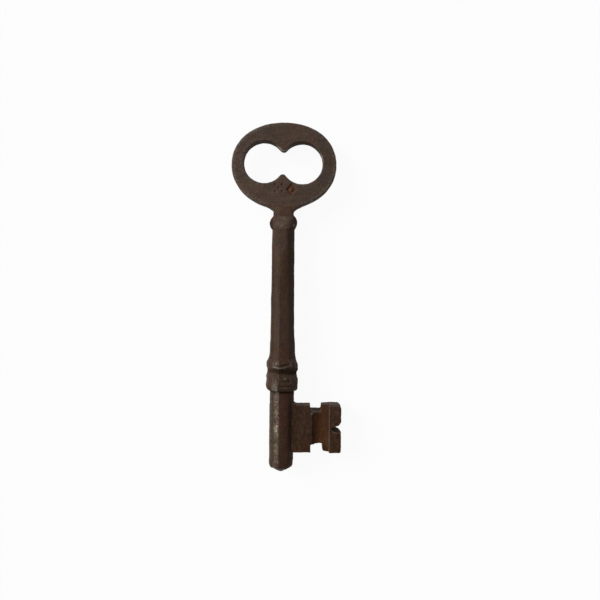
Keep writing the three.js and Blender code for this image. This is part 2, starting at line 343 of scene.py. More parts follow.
cusp_tip = Vector((-0.35, eye_centre.y + 3.92))
lobe_side = Vector((eye_centre.x + lobe_spacing / 2 + lobe_radius, eye_centre.y + 1.4))
wear_and_highlight_layer, rust_layer, dirt_and_shade_layer, mark_layer = new_layers(bow, "wear_and_highlight", "rust", "dirt_and_shade", "mark")
for vertex in bow.verts:
    x, y, z = vertex.co
    groove_share, ridge_share = file_marks(vertex.co)
    if z > 0:
        vertex.co.z -= 0.16 * groove_share
    if y < neck_foot + 5 and x > 1.5:
        for nick in range(3):
            start = Vector((3.2, neck_foot + 0.6 + 0.7 * nick))
            scratch(vertex, start, start + Vector((-0.6, 0.7)), width=0.18, depth=0.15)
    if z > bow_face - 1.2:
        on_edge = grow(0.1, 0.4, 1 - vertex.normal.z)
        along_cusp = bell(x - cusp_tip.x + 0.8, 2.0) * bell(y - cusp_tip.y - 0.5, 1.2)
        along_lobe = bell(x - lobe_side.x, 0.6) * bell(y - lobe_side.y, 2.2)
        near_rim = bell(from_rim(x, y) - 0.6, 0.5) * grow(neck_foot + 2, neck_foot + 4, y)
        near_rim *= grow(bow_face - 1.0, bow_face - 0.5, z)
        left, lower_right = fade(-8, 0, x), grow(2, 12, 0.7 * x - 0.7 * (y - bow_middle))
        flecks = 0.3 + 0.7 * grow(-0.1, 0.3, noise.noise(vertex.co / 0.4))
        along_rim = near_rim * (0.14 + 0.22 * left + 0.14 * lower_right) * flecks
        along_rim = max(along_rim, 0.25 * near_left_lobe(x, y) * flecks)
        # The bevels of the upper cusp and the right lobe face the light and get a painted
        # highlight.
        highlit_bevels = 1.6 * on_edge * max(along_cusp, along_lobe)
        vertex[wear_and_highlight_layer] = max(highlit_bevels, along_rim, 0.26 * ridge_share)
edge_layer = bow.verts.layers.float["edge"]
for vertex in bow.verts:
    x, y, z = vertex.co
    # Walls that face down, away from the light, get painted shade and lose their bright edges.
    shaded_facing_down = grow(0.35, 0.75, -vertex.normal.y) if from_rim(x, y) > 2.5 else 0
    vertex[edge_layer] *= 1 - shaded_facing_down
    on_neck = fade(neck_foot + 2.0, neck_foot + 5.0, y)
    above_cusp = 0.5 * spot_at(vertex, 0, cusp_tip.y + 1.3, 0.8)
    beside_marks = 0.16 * bell(math.hypot((x + 7) / 1.5, y - 92.5), 2.2)
    upper_right = 0.16 * spot_at(vertex, 8.5, 108.5, 2.5)
    vertex[rust_layer] = max(0.27 * on_neck, above_cusp, beside_marks, upper_right)
    dark_flecks = grow(0.0, 0.3, -noise.noise(vertex.co / 0.4))
    near_edge = max(bell(from_rim(x, y) - 0.5, 0.5), near_left_lobe(x, y))
    along_rim = 0.35 * near_edge * dark_flecks if z > bow_face - 0.8 else 0
    # The bow is a little darker towards its right.
    right_side = 0.17 * grow(4.0, 14.0, x)
    specks = 0.6 * right_specks(vertex.co) if z > 0 else 0
    vertex[dirt_and_shade_layer] = max(right_side, 0.22 * on_neck, along_rim, 0.4 * shaded_facing_down, specks)

# The bow's marks: two small ornamental punch marks under the eye, filled with rust. One is five
# dots in a cross, and the other a deeper lozenge with a boss.
dots_centre = Vector((-1.6, 93.0))
dot_spacing, dot_radius, dot_depth = 1.15, 0.42, 0.26
lozenge_centre = Vector((2.5, 92.6))
lozenge_half_width, lozenge_half_height, lozenge_depth = 1.75, 2.1, 0.42
boss_share = 0.38
for vertex in bow.verts:
    if vertex.co.z < bow_face - bow_rounding:
        continue
    flat = Vector((vertex.co.x, vertex.co.y))
    sunk = 0
    for across, up in ((0, 0), (-1, -1), (1, -1), (-1, 1), (1, 1)):
        dot = dots_centre + Vector((across, up)) * dot_spacing
        depth = fade(dot_radius * 0.5, dot_radius * 1.3, (flat - dot).length)
        sunk = max(sunk, dot_depth * depth)
    aside = flat - lozenge_centre
    share = abs(aside.x) / lozenge_half_width + abs(aside.y) / lozenge_half_height
    hollow = fade(0.86, 1.06, share)
    boss = fade(boss_share * 0.75, boss_share * 1.25, share)
    sunk = max(sunk, lozenge_depth * (hollow - boss * 0.8))
    vertex.co.z -= sunk
    vertex[mark_layer] = sunk / lozenge_depth


def seen(red, green, blue):
    """A colour written as it looks on a screen, from 0 to 255."""
    linear = []
    for value in (red, green, blue):
        share = value / 255
        linear.append(share / 12.92 if share <= 0.04045 else ((share + 0.055) / 1.055) ** 2.4)
    return (*linear, 1)


rust_orange = seen(98, 58, 35)
# The dirt brown also paints shade, and the bare metal also paints highlights, wherever a mesh asks
# for them.
dirt_and_shade_brown = seen(37, 24, 12)
metal_and_highlight_colour = seen(150, 139, 127)


def iron(
    name, tones, roughness, rust_share, wear_share,
    rust=rust_orange, metal_and_highlight=metal_and_highlight_colour, filed_across=False,
):
    """Old iron: three browns in soft blotches, mottled, rust in its hollows, dirt and painted
    shade, and metal where worn and as painted highlights.

    Its file marks run up the stem, or across it."""
    material = bpy.data.materials.new(name)
    material.use_nodes = True
    nodes, links = material.node_tree.nodes, material.node_tree.links
    skin = nodes["Principled BSDF"]
    place = nodes.new("ShaderNodeTexCoord")

    def pattern(size, detail, roughness=0.55, length=1):
        """Clouds of a size in millimetres, which may be drawn out along the filing."""
        drawn_out = nodes.new("ShaderNodeMapping")
        scale = (1 / length, 1, 1) if filed_across else (1, 1 / length, 1)
        drawn_out.inputs["Scale"].default_value = scale
        links.new(place.outputs["Object"], drawn_out.inputs["Vector"])
        texture = nodes.new("ShaderNodeTexNoise")
        texture.inputs["Scale"].default_value = 1 / (size * millimetre)
        texture.inputs["Detail"].default_value = detail
        texture.inputs["Roughness"].default_value = roughness
        links.new(drawn_out.outputs["Vector"], texture.inputs["Vector"])
        return texture.outputs["Fac"]

    def stretch(source, start, end, low, high):
        """Maps a range of one value onto another, and holds it there."""
        ranged = nodes.new("ShaderNodeMapRange")
        links.new(source, ranged.inputs["Value"])
        limits = {"From Min": start, "From Max": end, "To Min": low, "To Max": high}
        for socket, value in limits.items():
            ranged.inputs[socket].default_value = value
        return ranged.outputs["Result"]

    def feed(socket, value):
        """Gives a socket what another one puts out, or a number or a colour of its own."""
        if isinstance(value, bpy.types.NodeSocket):
            links.new(value, socket)
        else:
            socket.default_value = value

    def join(operation, *values):
        """Works values into one, two at a time."""
        joined = values[0]
        for value in values[1:]:
            sum_node = nodes.new("ShaderNodeMath")
            sum_node.operation = operation
            feed(sum_node.inputs[0], joined)
            feed(sum_node.inputs[1], value)
            joined = sum_node.outputs["Value"]
        return joined

    def layer(share, below, above, kind="MIX"):
        """One colour over another."""
        mix = nodes.new("ShaderNodeMix")
        mix.data_type = "RGBA"
        mix.blend_type = kind
        feed(mix.inputs["Factor"], share)
        feed(mix.inputs[6], below)
        feed(mix.inputs[7], above)
        return mix.outputs[2]

    def carried(layer_name):
        """One of the values that the mesh carries."""
        attribute = nodes.new("ShaderNodeAttribute")
        attribute.attribute_name = layer_name
        return attribute.outputs["Fac"]

    # Three browns in blotches, mottled, speckled and streaked along the filing.
    browns = layer(stretch(pattern(5.0, 2, length=1.5), 0.38, 0.62, 0, 1), tones[0], tones[1])
    browns = layer(stretch(pattern(3.4, 3), 0.45, 0.68, 0, 0.9), browns, tones[2])
    clouds = stretch(pattern(4.2, 2, length=2.5), 0.35, 0.65, 0.91, 1.09)
    mottle = stretch(pattern(1.3, 4, 0.6, length=1.6), 0.32, 0.68, 0.85, 1.15)
    speckle = stretch(pattern(0.4, 3), 0.35, 0.65, 0.78, 1.22)
    drawn = stretch(pattern(0.5, 3, 0.6, length=9), 0.35, 0.65, 0.92, 1.08)
    shade = join("MULTIPLY", clouds, mottle, speckle, drawn)
    browns = layer(1.0, browns, shade, "MULTIPLY")

    # Rust in clouds, in the pits and the punch marks, and where it is laid on.
    rust_cloud = stretch(pattern(1.6, 5, 0.65), 0.48, 0.75, 0, 1)
    in_pits = join("MULTIPLY", carried("pit"), 0.07)
    in_marks = join("MINIMUM", join("MULTIPLY", carried("mark"), 0.8), 0.75)
    laid_rust = join("MULTIPLY", carried("rust"), stretch(pattern(0.8, 4), 0.3, 0.6, 0.35, 1))
    in_clouds = join("MULTIPLY", rust_cloud, rust_share)
    rusted = join("MAXIMUM", in_clouds, in_pits, in_marks, laid_rust)
    coated = layer(rusted, browns, layer(1.0, rust, shade, "MULTIPLY"))

    # Dirt and painted shade lie over the rust, and bare metal shows through both on edges and where
    # it is rubbed; the rubbed layer also paints highlights.
    dirt_and_shade_share = join("MINIMUM", carried("dirt_and_shade"), 1.0)
    coated = layer(join("MULTIPLY", dirt_and_shade_share, 0.92), coated, dirt_and_shade_brown)
    patchy = stretch(pattern(0.45, 4, 0.7), 0.38, 0.62, 0, 1)
    on_edges = join("MULTIPLY", stretch(carried("edge"), 0.035, 0.13, 0, wear_share), patchy)
    scuffs = stretch(pattern(0.55, 4, 0.7, length=1.8), 0.4, 0.62, 0.3, 1)
    rubbed_and_highlit = join("MULTIPLY", carried("wear_and_highlight"), scuffs)
    bare_and_highlit = join("MINIMUM", join("ADD", on_edges, rubbed_and_highlit), 1.0)
    links.new(layer(bare_and_highlit, coated, metal_and_highlight), skin.inputs["Base Color"])
    links.new(join("MULTIPLY", bare_and_highlit, 0.6), skin.inputs["Metallic"])

    # Rust, dirt and painted shade are duller than the skin, and bare metal and painted highlights
    # are smoother, all with a fine grain.
    uneven = stretch(pattern(0.7, 4), 0.3, 0.7, roughness - 0.1, roughness + 0.12)
    dull = join("ADD", uneven, join("MULTIPLY", join("MAXIMUM", rusted, dirt_and_shade_share), 0.3))
    polished = join("SUBTRACT", dull, join("MULTIPLY", bare_and_highlit, 0.25))
    links.new(polished, skin.inputs["Roughness"])
    skin.inputs["Specular IOR Level"].default_value = 0.07
    grain = join("ADD", pattern(0.25, 5, 0.6), join("MULTIPLY", pattern(0.08, 3), 0.4))
    bump = nodes.new("ShaderNodeBump")
    bump.inputs["Strength"].default_value = 0.6
    bump.inputs["Distance"].default_value = 0.06 * millimetre
    links.new(grain, bump.inputs["Height"])
    links.new(bump.outputs["Normal"], skin.inputs["Normal"])
    return material


def lay_down(bm, name, node, material):
    """Puts a finished mesh in its place on the key, where it stands for the piece's plain solid."""
    bmesh.ops.scale(bm, vec=Vector((millimetre,) * 3), verts=bm.verts)
    bmesh.ops.translate(bm, vec=stem_origin, verts=bm.verts)
    piece = as_object(bm, name)
    piece.data.shade_smooth()
    piece.data.set_sharp_from_angle(angle=math.radians(50))
    piece.data.materials.append(material)
    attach(piece, "root")
    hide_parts(node)


bow_iron = iron(
    "bow iron", (seen(81, 64, 56), seen(74, 63, 58), seen(75, 65, 52)), roughness=0.62,
    rust_share=0.2, wear_share=0.4, filed_across=True,
)
lay_down(bow, "iron_bow", "bow", bow_iron)

# The knop: a ball ring turned from iron, bored for the bow's tenon and seated on the shank's top.
# Its front and back are filed flush with the shank, so it bulges only at its sides, and its top
# slopes down to the bow's neck.
knop_foot = reach("knop")[0].y
bore_radius = 1.8
knop_outline = [
    (3.62, 79.4), (4.06, 80.15), (4.4, 80.8), (4.54, 81.5), (4.56, 82.1),
    (4.36, 82.8), (4.03, 83.5), (3.4, 84.2), (2.75, 84.85), (2.2, 85.5),
]
knop_front = 3.45
left_proud = 0.1
front_turn = math.radians(-10)


def smooth_line(points, spacing):
    """Close-set points along a smooth curve through a few points, each a radius and a height."""
    ends = [Vector(point) for point in points]
    ends = [2 * ends[0] - ends[1], *ends, 2 * ends[-1] - ends[-2]]
    line = []
    for i in range(1, len(ends) - 2):
        before, start, end, after = ends[i - 1:i + 3]
        steps = max(1, round((end - start).length / spacing))
        for step in range(steps):
            t = step / steps
            line.append(0.5 * (
                2 * start + (end - before) * t
                + (2 * before - 5 * start + 4 * end - after) * t ** 2
                + (3 * start - before - 3 * end + after) * t ** 3
            ))
    line.append(ends[-2])
    return line


def turn(profile, steps):
    """Spins a closed profile of radii and heights about the stem."""
    bm = bmesh.new()
    verts = [bm.verts.new((radius, height, 0)) for radius, height in profile]
    edges = [bm.edges.new((verts[i - 1], verts[i])) for i in range(len(verts))]
    bmesh.ops.spin(
        bm, geom=verts + edges, cent=(0, 0, 0), axis=(0, 1, 0), angle=2 * math.pi, steps=steps,
        use_merge=True, use_duplicate=False,
    )
    bmesh.ops.remove_doubles(bm, verts=bm.verts, dist=0.001)
    bmesh.ops.recalc_face_normals(bm, faces=bm.faces)
    return bm


def from_stem(place):
    """How far a place lies from the stem's axis."""
    return math.hypot(place.x, place.z)


def file_front(vertex, depth):
    """Files a flat on the stem's front, a little to the left, at a depth above its axis."""
    across, out = math.sin(front_turn), math.cos(front_turn)
    over = across * vertex.co.x + out * vertex.co.z - depth
    filed = 0.7 * over
    if over > 0 and vertex.co.z > 0:
        vertex.co.x -= filed * across
        vertex.co.z -= filed * out


def dent(vertex, x, y, width, depth):
    """Presses a dent, or raises a lump, on the key's front."""
    if vertex.co.z > 0:
        vertex.co.z -= depth * spot_at(vertex, x, y, width)


knop = turn([
    (bore_radius, knop_foot), *smooth_line(knop_outline, spacing=0.12),
    (bore_radius, knop_outline[-1][1]),
], steps=220)
for vertex in knop.verts:
    x, y, z = vertex.co
    if from_stem(vertex.co) > bore_radius + 0.1:
        sides = 0.27 * max(abs(x) - 1.2, 0) + 0.9 * max(abs(x) - 2.9, 0)
        slope = 0.3 * grow(80.5, 82.8, y) + 1.6 * grow(82.8, 84.0, y)
        level = knop_front - max(sides, slope)
        overhang = abs(z) - level
        if overhang > 0:
            vertex.co.z = math.copysign(level + left_proud * overhang, z)
        file_front(vertex, 3.2 - 0.25 * grow(80.5, 83.0, y))
        vertex.co.y += (0.045 * x - 0.08) * grow(79.5, 80.2, y)
rub_round(
    knop, times=14, where=lambda place: place.y > knop_foot + 0.05 and from_stem(place) > 2.3,
)
for vertex in knop.verts:
    if from_stem(vertex.co) > bore_radius + 0.1:
        if vertex.co.z > 0:
            vertex.co.z -= 0.14 * file_marks(vertex.co)[0]
        dent(vertex, -0.4, 80.5, width=0.45, depth=-0.1)
        dent(vertex, 3.3, 81.0, width=0.35, depth=-0.15)
        dent(vertex, 3.0, 79.9, width=0.3, depth=0.15)
weather(
    knop, seed=23, wave=0.05, lump=0.04, pit_depth=0.06, pit_share=0.3,
    outside=lambda place: from_stem(place) > bore_radius + 0.1, seams=(knop_foot,),
)
# Painted highlights on the knop's front: a crown, a crescent on its sloping top and a glint at its
# right; the ridges of the file marks are rubbed bright. Both sides are darker, the right side with
# painted shade turned from the light, and fine dark specks run down the right.
wear_and_highlight_layer, dirt_and_shade_layer = new_layers(knop, "wear_and_highlight", "dirt_and_shade")
for vertex in knop.verts:
    x, y, z = vertex.co
    if z > 0:
        crescent = 0.25 * bell(y - 83.3, 0.45) * bell(x + 0.6, 1.6)
        crown = 0.4 * bell(math.hypot(0.6 * (x + 0.5), y - 80.6), 0.36)
        crown = max(crown, 0.1 * bell(y - 80.9, 1.4) * bell(x + 1.6, 1.3))
        right_glint = 0.8 * spot_at(vertex, 3.45, 80.8, 0.34)
        vertex[wear_and_highlight_layer] = max(crown, crescent, right_glint, 0.3 * file_marks(vertex.co)[1])
    left_side = 0.85 * fade(-3.9, -2.6, x)
    right_side = 0.45 * grow(2.9, 4.0, x)
    right_side = max(right_side, 0.25 * grow(1.8, 2.6, x) * fade(80.5, 81.5, y))
    sides = max(left_side, right_side) * (1 - 0.3 * grow(82.5, 84.0, y))
    vertex[dirt_and_shade_layer] = max(sides, 0.7 * right_specks(vertex.co))
knop_iron = iron(
    "knop iron", (seen(82, 62, 51), seen(75, 59, 56), seen(74, 64, 47)), roughness=0.55,
    rust_share=0.15, wear_share=0.25,
)
lay_down(knop, "iron_knop", "knop", knop_iron)

# The shank: a slender tapered stem, turned and then filed to eight flats that grow sharper towards
# its foot, where it flares to the collar. Each end has a blind socket for a tenon.
shank_low, shank_high = reach("shank")
facet_turn = math.radians(8.5)
facet_angle = math.radians(45)
shank_outline = [
    (4.72, 37.3), (4.55, 37.9), (4.43, 38.6), (4.36, 39.6), (4.31, 41.6), (4.22, 43.0),
    (4.12, 44.6), (4.07, 47.0), (4.0, 52.7), (3.95, 58.0), (3.88, 64.0), (3.82, 70.0),
    (3.76, 75.0), (3.68, 79.4),
]
spigot_bore = 2.6
lower_socket_top = 43.1
upper_socket_foot = 73.1


def off_spigot(place):
    """True outside the bores that the post's spigot fills."""
    return from_stem(place) > spigot_bore + 0.1


def file_flats(vertex, strength, turned_by=0):
    """Moves a point of a round surface onto one of the eight flats."""
    angle = math.atan2(vertex.co.x, vertex.co.z) - facet_turn - turned_by
    from_middle = angle - facet_angle * round(angle / facet_angle)
    flat = math.cos(facet_angle / 2) / math.cos(from_middle)
    share = 1 - strength * (1 - flat)
    vertex.co.x *= share
    vertex.co.z *= share


shank = turn([
    (0, lower_socket_top), (spigot_bore, lower_socket_top), (spigot_bore, shank_low.y),
    *smooth_line(shank_outline, spacing=0.2),
    (bore_radius, shank_high.y), (bore_radius, upper_socket_foot), (0, upper_socket_foot),
], steps=150)
for vertex in shank.verts:
    if off_spigot(vertex.co):
        up_share = (vertex.co.y - shank_low.y) / (shank_high.y - shank_low.y)
        strength = 0.95 - 0.4 * up_share - 0.5 * grow(0.45, 0.95, up_share)
        file_flats(vertex, strength)
        vertex.co.x += 0.09 * bell(vertex.co.y - 39.5, 4.5)
        if vertex.co.x < 0:
            vertex.co.x -= 0.1 * bell(vertex.co.y - 56.0, 2.6)
        file_front(vertex, 4.3 - 1.05 * grow(66.0, 75.0, vertex.co.y))
rub_round(
    shank, times=10,
    where=lambda place: 65 < place.y < shank_high.y - 0.05 and from_stem(place) > 2.7,
)
weather(
    shank, seed=23, wave=0.05, lump=0.018, pit_depth=0.03, pit_share=0.25,
    outside=off_spigot, seams=(shank_low.y, shank_high.y),
)
# The shank's lit left flat and its top get a touch of painted highlight. Painted shade lies beside
# the crest of the front flat and down the right side, which is turned from the light. The left side
# and the middle are darker too, and rust and a darker tone lie towards the right at the foot.
wear_and_highlight_layer, rust_layer, dirt_and_shade_layer = new_layers(shank, "wear_and_highlight", "rust", "dirt_and_shade")
for vertex in shank.verts:
    x, y, z = vertex.co
    if z > 0:
        left_flat = grow(-4.2, -3.2, x) * fade(-1.1, -0.7, x)
        top = 0.035 * grow(68.0, 74.0, y) * fade(1.0, 2.0, x)
        vertex[wear_and_highlight_layer] = max(0.02 * left_flat * fade(68.0, 73.0, y), top)
    beside_crest = 0.5 * bell(x + 1.1, 0.45) * bell(y - 61.0, 7.0) if z > 0 else 0
    left_side = 0.36 + 0.15 * bell(y - 61.0, 7.0)
    left_side *= fade(-3.1, -2.2, x) * fade(74.0, 79.0, y)
    right_side = 0.14 * grow(2.0, 2.8, x) + 0.5 * grow(3.2, 3.7, x)
    at_foot = fade(41.0, 50.0, y)
    right_side = max(right_side * (1 - at_foot), 0.13 * at_foot * grow(-0.6, 2.0, x))
    vertex[dirt_and_shade_layer] = max(left_side, right_side, beside_crest, 0.1 * bell(y - 62.0, 7.0))
    vertex[rust_layer] = 0.1 * at_foot * grow(-0.6, 0.5, x)
shank_iron = iron(
    "shank iron", (seen(68, 48, 36), seen(62, 47, 41), seen(61, 49, 32)), roughness=0.55,
    rust_share=0.12, wear_share=0.2,
)
lay_down(shank, "iron_shank", "shank", shank_iron)

# The collar's bead: a rounded iron ring pushed up the post's spigot against the shank's foot, with
# its front filed into flats and a slip of the file across it.
bead_low, bead_high = reach("collar_bead")
bead_outline = [
    (4.94, 32.9), (4.97, 33.3), (5.2, 33.7), (5.4, 34.2), (5.42, 34.9),
    (5.35, 35.6), (5.15, 36.2), (4.92, 36.7), (4.72, 37.3),
]
lower_turn = math.radians(4)


def ring_sway(vertex):
    """The collar's rings were brazed on a little askew, higher on the left and in front."""
    below_top = fade(35.0, 37.3, vertex.co.y)
    vertex.co.y -= 0.09 * vertex.co.x * grow(28.0, 32.5, vertex.co.y) * below_top
    vertex.co.y += 0.07 * vertex.co.z * grow(25.0, 28.0, vertex.co.y) * below_top


def turn_ring(outline, low, high):
    """A ring of the collar, bored for the post's spigot."""
    return turn([
        (spigot_bore, low), *smooth_line(outline, spacing=0.1), (spigot_bore, high),
    ], steps=260)


bead = turn_ring(bead_outline, bead_low.y, bead_high.y)
for vertex in bead.verts:
    if off_spigot(vertex.co):
        turned_by = lower_turn * fade(36.3, 37.3, vertex.co.y)
        strength = 0.7 + 0.25 * grow(35.5, 37.2, vertex.co.y)
        file_flats(vertex, strength, turned_by)
        ring_sway(vertex)
        if vertex.co.x < 0:
            vertex.co.x += 0.2 * bell(vertex.co.y - 35.0, 1.2)
        scratch(vertex, Vector((-0.9, 34.9)), Vector((2.7, 35.7)), width=0.36, depth=0.36)
        scratch(vertex, Vector((-0.9, 34.3)), Vector((1.6, 34.7)), width=0.25, depth=-0.2)
weather(
    bead, seed=23, wave=0.05, lump=0.04, pit_depth=0.06, pit_share=0.3,
    outside=off_spigot, seams=(bead_low.y, bead_high.y),
)
# The bead's lower edge carries a bright line, partly a rubbed ridge and partly a painted highlight,
# with pale rubbed spots on the left and a touch of painted light on the right flat. Painted shade
# fills the groove under the bead, the slip of the file and the lower right, and the bead is a
# little darker at both sides.
wear_and_highlight_layer, dirt_and_shade_layer = new_layers(bead, "wear_and_highlight", "dirt_and_shade")
for vertex in bead.verts:
    x, y, z = vertex.co
    level = y + 0.09 * x - 0.07 * z
    dirt_and_shade = fade(33.4, 33.9, level - 0.04 * x) * (1 - 0.35 * fade(-3.2, -2.4, x))
    dirt_and_shade = max(dirt_and_shade, 0.25 * fade(-4.9, -3.6, x), 0.12 * grow(3.4, 4.6, x))
    if z > 0:
        wear_and_highlight_share = bell(x + 2.0, 0.9) + 0.2 * bell(x - 0.4, 1.0)
        spots = grow(0.05, 0.35, noise.noise(Vector((x, y, 7)) / 0.24))
        spots *= bell(x + 1.9, 1.0) * bell(y - 35.6, 0.9)
        lower_line = bell(level - 34.15, 0.22) * min(wear_and_highlight_share, 1)
        right_flat = 0.03 * grow(2.0, 3.0, x) * fade(4.2, 5.0, x) * grow(33.8, 34.4, level)
        vertex[wear_and_highlight_layer] = max(0.95 * lower_line, 0.7 * spots, right_flat)
        dirt_and_shade = max(dirt_and_shade, 0.7 * bell(y - 34.9 - 0.28 * (x + 0.9), 0.3) * bell(x - 0.9, 1.7))
        dirt_and_shade = max(dirt_and_shade, 0.85 * grow(-1.0, -0.3, x) * bell(level - 34.1, 0.45))
    vertex[dirt_and_shade_layer] = dirt_and_shade
collar_iron = iron(
    "collar iron", (seen(69, 50, 38), seen(63, 48, 43), seen(60, 50, 33)), roughness=0.5,
    rust_share=0.12, wear_share=0.35, metal_and_highlight=seen(152, 146, 137),
)
lay_down(bead, "iron_collar_bead", "collar_bead", collar_iron)

# The collar's band: a broad iron ring under the bead, battered where it has struck keyholes for
# years. Its lower shoulder stops the key, and its left flat is rubbed bright.
band_low, band_high = reach("collar_band")
band_outline = [
    (4.1, 26.5), (4.35, 26.53), (4.7, 26.75), (5.05, 27.1), (5.28, 27.6), (5.4, 28.2),
    (5.43, 29.0), (5.4, 29.8), (5.38, 30.7), (5.28, 31.3), (5.1, 31.8), (4.97, 32.3),
    (4.94, 32.9),
]
band = turn_ring(band_outline, band_low.y, band_high.y)
for vertex in band.verts:
    if off_spigot(vertex.co):
        file_flats(vertex, strength=0.7, turned_by=lower_turn * grow(28.0, 30.0, vertex.co.y))
        ring_sway(vertex)
        scratch(vertex, Vector((-0.6, 30.1)), Vector((2.6, 30.0)), width=0.3, depth=0.2)
        scratch(vertex, Vector((-0.6, 28.5)), Vector((2.6, 28.5)), width=0.25, depth=0.25)
        dent(vertex, 1.4, 31.0, width=0.4, depth=-0.25)
        dent(vertex, 2.6, 30.2, width=0.5, depth=0.3)
        dent(vertex, 2.5, 28.5, width=0.4, depth=0.2)
        vertex.co.x += math.copysign(0.1, vertex.co.x) * bell(vertex.co.y - 28.0, 0.8)
        if vertex.co.x > 0:
            vertex.co.x += 0.25 * bell(vertex.co.y - 27.0, 0.5)
        else:
            vertex.co.x += 0.2 * bell(vertex.co.y - 30.1, 0.9)
weather(
    band, seed=23, wave=0.06, lump=0.06, pit_depth=0.1, pit_share=0.4,
    outside=off_spigot, seams=(band_high.y,),
)
# Painted shade lies in the groove under the bead, along the lower scratch and down the right side,
# and a darker streak runs down the right of the front. The left flat is rubbed bright in specks,
# and the lump's top, the right flat and the lower right corner carry painted highlights.
wear_and_highlight_layer, dirt_and_shade_layer = new_layers(band, "wear_and_highlight", "dirt_and_shade")
for vertex in band.verts:
    x, y, z = vertex.co
    dirt_and_shade = grow(31.7, 32.6, y + 0.05 * x - 0.07 * z) * (1 - 0.45 * fade(-2.0, -0.8, x))
    dirt_and_shade = max(dirt_and_shade, 0.12 * grow(3.0, 4.4, x))
    if z > 0:
        dirt_and_shade = max(dirt_and_shade, 0.3 * bell(x - 2.8, 0.4) * bell(y - 29.3, 2.0))
        across = grow(-3.4, -2.7, x) * fade(-1.5, -1.1, x)
        up = grow(26.5, 27.2, y) * fade(30.3, 31.8, y)
        bright = 0.22 + 0.75 * bell(y - 27.6, 1.0)
        speckled = 0.5 + 0.5 * grow(-0.3, 0.2, noise.noise(Vector((x, y, 3)) / 0.35))
        lump_top = 0.35 * spot_at(vertex, 1.3, 31.0, 0.35)
        right_flat = 0.05 * grow(1.6, 2.6, x) * fade(4.2, 5.0, x) * bell(y - 31.0, 0.9)
        corner = 0.4 * spot_at(vertex, 4.6, 27.4, 0.4)
        left_flat = 0.85 * across * up * bright * speckled
        vertex[wear_and_highlight_layer] = max(left_flat, lump_top, right_flat, corner)
        dirt_and_shade = max(dirt_and_shade, 0.45 * bell(y - 28.5, 0.3) * bell(x - 0.9, 1.9))
    vertex[dirt_and_shade_layer] = dirt_and_shade
lay_down(band, "iron_collar_band", "collar_band", collar_iron)

# The post: the round pin that turns in the keyhole, drawn to a blunt cone. A spigot holds it in
# the collar and the shank, and the bit sits on a flat filed in its side, its tongue in a slot.
post_outline = [
    (4.12, 26.5), (4.12, 20.0), (4.1, 14.0), (4.1, 8.0), (4.12, 3.2), (4.02, 2.3), (3.75, 1.75),
]
nose_outline = [(3.75, 1.75), (2.6, 1.1), (1.5, 0.55), (0.8, 0.2), (0.35, 0.04), (0, 0)]
spigot_radius = 2.5
spigot_top = reach("post")[1].y
fit_gap, seat_gap = 0.1, 0.02
bit_foot, bit_top = 6.73, 22.23
root_half_thickness = 2.4
seat_reach = 3.35
tongue_reach, tongue_half_thickness, tongue_inset = 1.32, 1.2, 1.5


def box_between(bm, low, high):
    """A plain box, as a cutter or a tongue."""
    made = bmesh.ops.create_cube(bm, size=1)
    low, high = Vector(low), Vector(high)
    bmesh.ops.scale(bm, vec=high - low, verts=made["verts"])
    bmesh.ops.translate(bm, vec=(low + high) / 2, verts=made["verts"])


def cut_away(bm, cutter):
    """Takes one solid out of another."""
    whole, tool = as_object(bm, "whole"), as_object(cutter, "cutter")
    cut = whole.modifiers.new("cut", "BOOLEAN")
    cut.operation = "DIFFERENCE"
    cut.solver = "EXACT"
    cut.object = tool
    rest = worked(whole)
    put_away(tool)
    return rest


post = turn([
    *smooth_line(nose_outline[::-1], spacing=0.15),
    *smooth_line(post_outline[::-1], spacing=0.2)[1:],
    (spigot_radius, band_low.y), (spigot_radius, spigot_top), (0, spigot_top),
], steps=170)
pit = Vector((-1.9, 16.8))
for vertex in post.verts:
    if from_stem(vertex.co) > spigot_radius + 0.1:
        file_flats(vertex, strength=0.45)
        vertex.co.x += 0.1 * grow(20.0, 24.0, vertex.co.y)
        dent(vertex, pit.x, pit.y, width=0.3, depth=0.2)
    if vertex.co.x > 0 and vertex.co.y < 4.5:
        vertex.co.x *= 1 - 0.045 * fade(2.8, 4.5, vertex.co.y)
weather(
    post, seed=53, wave=0.04, lump=0.03, pit_depth=0.06, pit_share=0.3,
    outside=lambda place: place.y < band_low.y - 0.05, seams=(band_low.y,),
)
# A bright strip runs down the post's left front, partly rubbed metal and partly a painted
# highlight, and the nose has a painted glint on its left. Painted shade lies under the band, and
# the left side and the pit are darker.
wear_and_highlight_layer, dirt_and_shade_layer = new_layers(post, "wear_and_highlight", "dirt_and_shade")
for vertex in post.verts:
    x, y, z = vertex.co
    if z > 0:
        strip = grow(-3.4, -1.8, x) * fade(-0.85, -0.6, x - 0.1 * fade(8.0, 14.0, y))
        bright = bell(y - 14.8, 1.7) + 0.55 * bell(y - 7.9, 1.2) + 0.4 * bell(y - 19.3, 1.0)
        bright = min(bright + 0.25 * bell(y - 23.5, 2.2), 1) * bell(x + 1.6, 0.6)
        flecks = grow(-0.2, 0.25, noise.noise(Vector((x, y, 5)) / 0.27))
        strip_share = (0.13 + 0.8 * bright) * (0.45 + 0.75 * flecks) + 0.07 * flecks
        off_pit = 1 - spot_at(vertex, pit.x, pit.y, 0.4)
        strip_share *= strip * grow(2.0, 3.0, y) * off_pit
        left_edge = 0.13 * fade(-3.4, -2.4, x) * grow(2.0, 3.0, y)
        nose_spot = spot_at(vertex, -2.3, 1.5, 0.6)
        vertex[wear_and_highlight_layer] = max(strip_share, nose_spot, left_edge)
    under_band = fade(0.2, 0.8, band_low.y - y)
    left_side = 0.75 * fade(-3.6, -2.2, x)
    in_pit = spot_at(vertex, pit.x, pit.y, 0.45) if z > 0 else 0
    vertex[dirt_and_shade_layer] = max(under_band, left_side, in_pit)
seat = bmesh.new()
